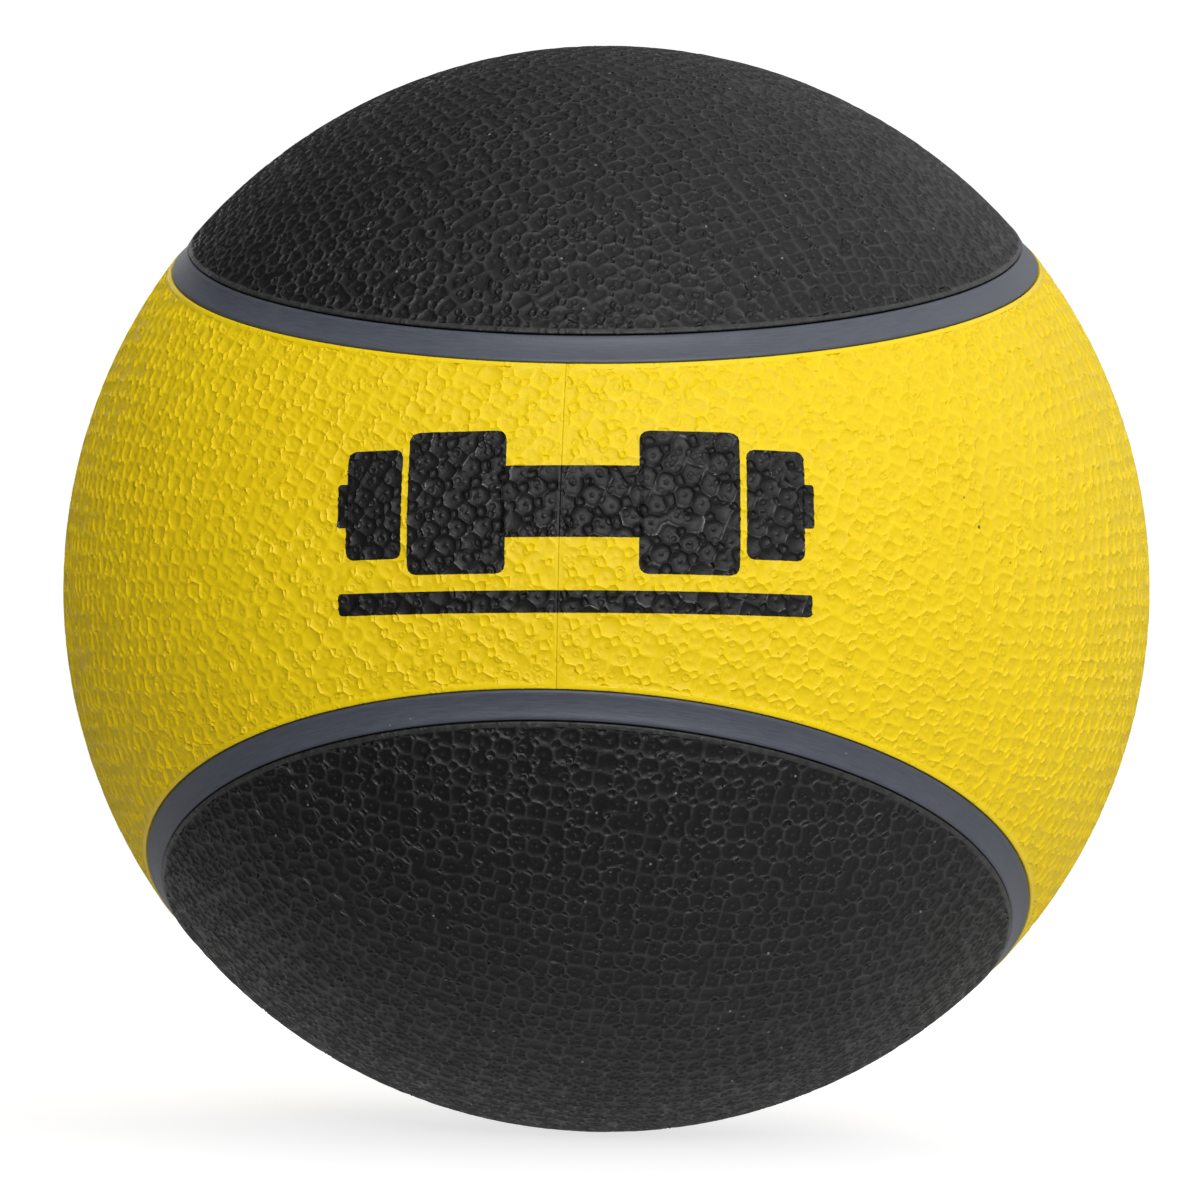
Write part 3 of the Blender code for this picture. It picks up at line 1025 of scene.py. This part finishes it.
class Paint(Nodes):
    """One material, with the patterns that several of them use."""

    def __init__(self, name):
        self.material = bpy.data.materials.new(name)
        self.material.use_nodes = True
        super().__init__(self.material.node_tree)
        self.shader = self.tree.nodes["Principled BSDF"]
        self.shader.inputs["Metallic"].default_value = 0
        self.object_space = self.node("ShaderNodeTexCoord").outputs["Object"]

    def attribute(self, name):
        return self.node("ShaderNodeAttribute", attribute_name=name).outputs["Fac"]

    def noise(self, scale, detail=3, roughness=0.5, vector=None):
        inputs = {"Vector": vector or self.object_space, "Scale": scale}
        inputs |= {"Detail": detail, "Roughness": roughness}
        return self.node("ShaderNodeTexNoise", inputs).outputs["Fac"]

    def uneven(self, scale, detail, low=0.0, high=1.0, start=0.3, end=0.7):
        """Noise, with the middle of its range stretched from low to high."""
        return self.levels(self.noise(scale, detail), start, end, low, high)

    def scattered(self, scale, share):
        """How far the nearest of many scattered points is, and whether it is one of a share."""
        cells = self.node("ShaderNodeTexVoronoi", {"Vector": self.object_space, "Scale": scale})
        luck = self.node("ShaderNodeSeparateColor", {"Color": cells.outputs["Color"]}).outputs["Red"]
        return cells.outputs["Distance"], self.math("LESS_THAN", luck, share)

    def dusted(self, colour, dust, scale, size, share, strength):
        """A colour with small scattered specks of another."""
        distance, chosen = self.scattered(scale, share)
        specks = self.math("MULTIPLY", self.levels(distance, size, size * 0.6), chosen)
        return self.mix(self.math("MULTIPLY", specks, strength), colour, dust)

    def fine_grain(self, scale, share, relief, weight):
        """Small raised rings with a little roughness between them, and sharper crests."""
        distance, chosen = self.scattered(scale, share)
        off_ring = self.math("ABSOLUTE", self.math("SUBTRACT", distance, 0.30))
        rings = self.math("MULTIPLY", self.levels(off_ring, 0.15, 0.0), chosen)
        rings = self.math("ADD", rings, self.noise(scale * 1.7, 3, 0.6))
        return self.math("ADD", rings, self.math("MULTIPLY", relief, weight))

    def spot(self, azimuth, elevation, size):
        """One mark at a given place on the ball: 1 inside it."""
        a, e = radians(azimuth), radians(elevation)
        place = Vector((sin(a) * cos(e), -cos(a) * cos(e), sin(e))) * BALL_R
        distance = self.vector("DISTANCE", self.object_space, place)
        wander = self.levels(self.noise(900, 2), 0, 1, -0.3 * size, 0.3 * size)
        return self.levels(self.math("ADD", distance, wander), size, size * 0.6)

    def finish(self, colour, roughness, height=None, distance=0.0, specular=0.5):
        self.put(self.shader.inputs["Base Color"], colour)
        self.put(self.shader.inputs["Roughness"], roughness)
        self.shader.inputs["Specular IOR Level"].default_value = specular
        if height is not None:
            bump = self.node("ShaderNodeBump", {"Height": height, "Distance": distance})
            self.put(self.shader.inputs["Normal"], bump.outputs[0])
        return self.material


YELLOW_SPOTS = ((41.3, 2.1, 0.45 * MM), (-12.0, -8.5, 0.25 * MM))


def yellow_rubber():
    paint = Paint("yellow_rubber_grain")
    relief = paint.attribute("relief")
    colour = paint.mix(paint.uneven(22, 4), (0.93, 0.672, 0.001), (0.97, 0.718, 0.002))
    # Painted shade: the grain's floors are painted up to 30% darker yellow, fading out towards its
    # crests.
    colour = paint.mix(paint.levels(relief, 0.0, 0.9, 0.30, 0.0), colour, (0.72, 0.46, 0.001))
    colour = paint.dusted(colour, (0.18, 0.10, 0.02), 330, 0.10, 0.05, 0.75)
    for place_and_size in YELLOW_SPOTS:
        colour = paint.mix(paint.spot(*place_and_size), colour, (0.16, 0.09, 0.03))
    rough = paint.levels(relief, 0.4, 1.0, 0.54, 0.36)
    rough = paint.math("ADD", rough, paint.uneven(160, 3, -0.05, 0.05))
    return paint.finish(colour, rough, paint.fine_grain(460, 0.7, relief, 0.4), 0.10 * MM, 0.30)


def black_rubber():
    paint = Paint("black_rubber_grain")
    relief = paint.attribute("relief")
    colour = paint.mix(paint.uneven(26, 4), (0.0012, 0.0012, 0.0012), (0.0026, 0.0026, 0.0025))
    # Painted highlight and painted shade: the crests are painted lighter grey in patches, the floors and
    # pits are left near black.
    crest = paint.math("MULTIPLY", paint.levels(relief, 0.25, 1.0), paint.uneven(700, 3, 0.35, 1.0))
    colour = paint.mix(crest, colour, (0.047, 0.047, 0.046))
    colour = paint.dusted(colour, (0.34, 0.34, 0.33), 420, 0.13, 0.10, 0.55)
    rough = paint.levels(relief, 0.55, 1.0, 0.46, 0.44)
    rough = paint.math("ADD", rough, paint.uneven(140, 3, -0.04, 0.06))
    return paint.finish(colour, rough, paint.fine_grain(440, 0.7, relief, 0.25), 0.14 * MM, 0.38)


def grey_rubber():
    paint = Paint("grey_rubber_moulded")
    across, around = paint.attribute("across"), paint.attribute("around")
    along = paint.math("MULTIPLY", around, 90)
    stretched = paint.node("ShaderNodeCombineXYZ", {"X": across, "Y": along}).outputs[0]
    streaks = paint.noise(3.2, 4, 0.6, stretched)
    colour = paint.mix(paint.levels(streaks, 0.35, 0.65), (0.066, 0.074, 0.096), (0.090, 0.100, 0.128))
    colour = paint.mix(paint.uneven(45, 3, 0.0, 0.35, 0.35, 0.7), colour, (0.052, 0.058, 0.076))
    # Painted shade: the strip's shoulders are painted darker where they drop into the gap beside the
    # covers.
    edge = paint.levels(paint.math("ABSOLUTE", across), 2.5, 2.86, 0.0, 0.7)
    colour = paint.mix(edge, colour, (0.03, 0.032, 0.036))
    colour = paint.dusted(colour, (0.42, 0.42, 0.42), 520, 0.10, 0.10, 0.5)
    rough = paint.levels(streaks, 0.3, 0.7, 0.40, 0.52)
    fine = paint.math("ADD", paint.math("MULTIPLY", streaks, 1.6), paint.noise(1500, 2))
    return paint.finish(colour, rough, fine, 0.03 * MM, 0.5)


def printing_ink():
    paint = Paint("black_ink")
    relief = paint.attribute("relief")
    colour = paint.mix(paint.uneven(60, 4), (0.0014, 0.0014, 0.0013), (0.0028, 0.0027, 0.0026))
    # Painted highlight: the ink's crests are painted a lighter grey, in patches.
    ink_crest_highlight = paint.uneven(300, 3, 0.1, 1.0, 0.4, 0.7)
    ink_crest_highlight = paint.math("MULTIPLY", paint.levels(relief, 0.6, 1.0), ink_crest_highlight)
    colour = paint.mix(ink_crest_highlight, colour, (0.026, 0.026, 0.0255))
    rough = paint.levels(relief, 0.55, 1.0, 0.50, 0.18)
    rough = paint.math("ADD", rough, paint.uneven(420, 3, -0.03, 0.05))
    return paint.finish(colour, rough, paint.fine_grain(450, 0.6, relief, 1.4), 0.10 * MM, 0.40)


MOULDED_RUBBERS = (  # name, dark, light, roughness low and high, scale of the grain, its height
    ("valve_rubber_moulded", (0.012, 0.012, 0.012), (0.020, 0.020, 0.020), 0.34, 0.46, 500, 0.02 * MM),
    ("heavy_rubber_pressed", (0.020, 0.019, 0.018), (0.055, 0.052, 0.048), 0.70, 0.90, 160, 0.3 * MM),
    ("butyl_rubber_talced", (0.022, 0.021, 0.021), (0.042, 0.040, 0.039), 0.42, 0.60, 240, 0.05 * MM),
    ("patch_rubber_buffed", (0.12, 0.034, 0.022), (0.21, 0.060, 0.040), 0.55, 0.75, 300, 0.08 * MM),
)


def moulded_rubber(name, dark, light, rough_low, rough_high, scale, height):
    paint = Paint(name)
    grain = paint.noise(scale, 5, 0.6)
    colour = paint.mix(paint.levels(grain, 0.35, 0.65), dark, light)
    dust = tuple(min(1, 3 * c) for c in light)
    colour = paint.dusted(colour, dust, scale * 0.9, 0.14, 0.08, 0.4)
    return paint.finish(colour, paint.uneven(scale * 0.4, 3, rough_low, rough_high), grain, height)


THREAD_PITCH = 1.1 * MM
THREAD_AXES = ((1.0, 0.2, 0.1), (0.1, 1.0, -0.3), (-0.4, 0.2, 1.0), (0.7, -0.7, 0.4))


def nylon_thread():
    """Windings that cross in several directions, under a thin rubber dip."""
    paint = Paint("nylon_thread_wound")
    height = -1.0
    for axis in THREAD_AXES:
        along = paint.vector("DOT_PRODUCT", paint.object_space, Vector(axis).normalized())
        wander = paint.levels(paint.noise(30, 2), 0, 1, -1.2 * MM, 1.2 * MM)
        turn = paint.math("MULTIPLY", paint.math("ADD", along, wander), 2 * pi / THREAD_PITCH)
        height = paint.math("MAXIMUM", height, paint.math("SINE", turn))
    colour = paint.mix(paint.levels(height, 0.2, 1.0), (0.26, 0.24, 0.19), (0.66, 0.63, 0.54))
    return paint.finish(colour, paint.uneven(120, 3, 0.62, 0.82), height, 0.12 * MM)


# ---------------------------------------------------------------- camera, light, floor

CAMERA_PLACE = (0.05138, -0.67307, -0.06854)
CAMERA_RIGHT = (0.9969, 0.0732, 0.0284)
CAMERA_UP = (-0.0208, -0.1029, 0.9945)
SENSOR_WIDTH = 36
LENS = 94.8
LENS_SHIFT = (-0.0054, -0.0094)

LIGHTS = (  # name, place, side, power; each faces the ball
    ("key", (0.154, -1.76, 0.24), 1.4, 20.5),
    ("spark", (0.30, -1.65, 0.40), 0.22, 2.6),
    ("back_fill", (-0.55, 1.65, 0.35), 1.6, 8),
)
STUDIO_GLOW = (  # direction, where the glow starts and is full, and its strengths there
    ((0.72, -0.36, 0.59), -0.15, 1.0, 0.10, 0.97),
    ((0.60, 0.80, 0.0), 0.30, 1.0, 0.0, 0.26),
)
CAMERA_WHITE = 1.05            # the studio's strength where the camera sees it
FLOOR_RADIUS = 9
FLOOR_SHEEN = 0.46             # how bright the floor behind the ball is to the ball
FLOOR_BEHIND = (0.5, 1.0, 0.0)


def make_camera():
    data = bpy.data.cameras.new("camera")
    data.sensor_width = SENSOR_WIDTH
    data.lens = LENS
    data.shift_x, data.shift_y = LENS_SHIFT
    data.clip_start = 0.05
    data.clip_end = 50
    camera = bpy.data.objects.new("camera", data)
    bpy.context.scene.collection.objects.link(camera)
    right, up = Vector(CAMERA_RIGHT).normalized(), Vector(CAMERA_UP).normalized()
    back = right.cross(up).normalized()
    turn = Matrix((right, back.cross(right), back)).transposed()
    camera.matrix_world = Matrix.Translation(CAMERA_PLACE) @ turn.to_4x4()
    bpy.context.scene.camera = camera


def make_lights():
    for name, place, side, power in LIGHTS:
        data = bpy.data.lights.new(name, "AREA")
        data.size = side
        data.energy = power
        light = bpy.data.objects.new(name, data)
        bpy.context.scene.collection.objects.link(light)
        light.location = place
        light.rotation_euler = (-Vector(place)).to_track_quat("-Z", "Y").to_euler()


def floor_paint():
    """Glows nearly white to the camera, a little less near the ball. To the ball it is dark in front and
    glows a little behind.
    """
    paint = Paint("floor_paint")
    to_camera = paint.to_camera()
    away = paint.vector("LENGTH", paint.object_space)
    seen = paint.levels(away, 0.2, 1.0, 0.72, 1.0)
    behind = paint.vector("DOT_PRODUCT", paint.object_space, FLOOR_BEHIND)
    behind = paint.levels(behind, -0.20, -0.05, 0.05, FLOOR_SHEEN, "SMOOTHSTEP")
    sheen = paint.math("MULTIPLY", behind, paint.levels(away, 0.25, 0.8, 1.0, 0.08))
    strength = paint.mix_numbers(to_camera, sheen, seen)
    glow = paint.node("ShaderNodeEmission", {"Strength": strength}).outputs[0]
    material = paint.finish(paint.mix(to_camera, (0.14, 0.14, 0.14), (0.5, 0.5, 0.5)), 0.9, specular=0.1)
    both = paint.node("ShaderNodeAddShader", {0: paint.shader.outputs[0], 1: glow}).outputs[0]
    paint.put(paint.tree.nodes["Material Output"].inputs["Surface"], both)
    return material


def make_floor():
    bm = bmesh.new()
    bmesh.ops.create_circle(bm, cap_ends=True, segments=96, radius=FLOOR_RADIUS)
    bmesh.ops.translate(bm, verts=bm.verts, vec=(0, 0, -BALL_R))
    mesh = bpy.data.meshes.new("floor")
    bm.to_mesh(mesh)
    bm.free()
    mesh.materials.append(floor_paint())
    floor = bpy.data.objects.new("floor", mesh)
    bpy.context.scene.collection.objects.link(floor)


def make_studio():
    """A white studio, which lights the ball most from the upper right and a little from behind."""
    world = bpy.data.worlds.new("studio")
    bpy.context.scene.world = world
    world.use_nodes = True
    nodes = Nodes(world.node_tree)
    direction = nodes.node("ShaderNodeTexCoord").outputs["Generated"]
    level = 0.0
    for side, start, end, low, high in STUDIO_GLOW:
        toward = nodes.vector("DOT_PRODUCT", direction, Vector(side).normalized())
        level = nodes.math("ADD", level, nodes.levels(toward, start, end, low, high, "SMOOTHSTEP"))
    background = world.node_tree.nodes["Background"]
    nodes.put(background.inputs["Color"], (1, 1, 1))
    strength = nodes.mix_numbers(nodes.to_camera(), level, CAMERA_WHITE)
    nodes.put(background.inputs["Strength"], strength)
    bpy.context.scene.view_settings.view_transform = "Standard"
    bpy.context.scene.view_settings.look = "None"


# ---------------------------------------------------------------- build

def build():
    make_camera()
    make_lights()
    make_floor()
    make_studio()
    yellow, black = yellow_rubber(), black_rubber()
    valve, heavy, butyl, patch = (moulded_rubber(*values) for values in MOULDED_RUBBERS)

    grain = Grain()
    covers = (
        ("cover_yellow_right", yellow, Matrix.Identity(3), False),
        ("cover_yellow_left", yellow, TURN_OVER, False),
        ("cover_black_top", black, SWAP_COLOURS, True),
        ("cover_black_bottom", black, TURN_OVER @ SWAP_COLOURS, False),
    )
    printed = []
    for number, (node, material, placement, has_valve) in enumerate(covers):
        mesh, *facets = cover_half(node + "_grained", grain, placement, number, has_valve)
        link_piece(mesh, material, node)
        if material == yellow:
            printed.append(facets)
    trim_strip(grey_rubber())
    printed_mark(printing_ink(), printed)
    housing = lathe("valve_housing_turned", VALVE_HOUSING, 96)
    link_piece(housing, valve, "valve_housing")
    core = lathe("valve_core_turned", VALVE_CORE, 72)
    link_piece(core, valve, "valve_core")
    for node, material in (
        ("carcass_upper", heavy), ("carcass_lower", heavy), ("thread_winding", nylon_thread()),
        ("bladder", butyl), ("valve_patch", patch), ("balance_patch", patch),
    ):
        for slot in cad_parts[node].material_slots:
            slot.material = material


build()

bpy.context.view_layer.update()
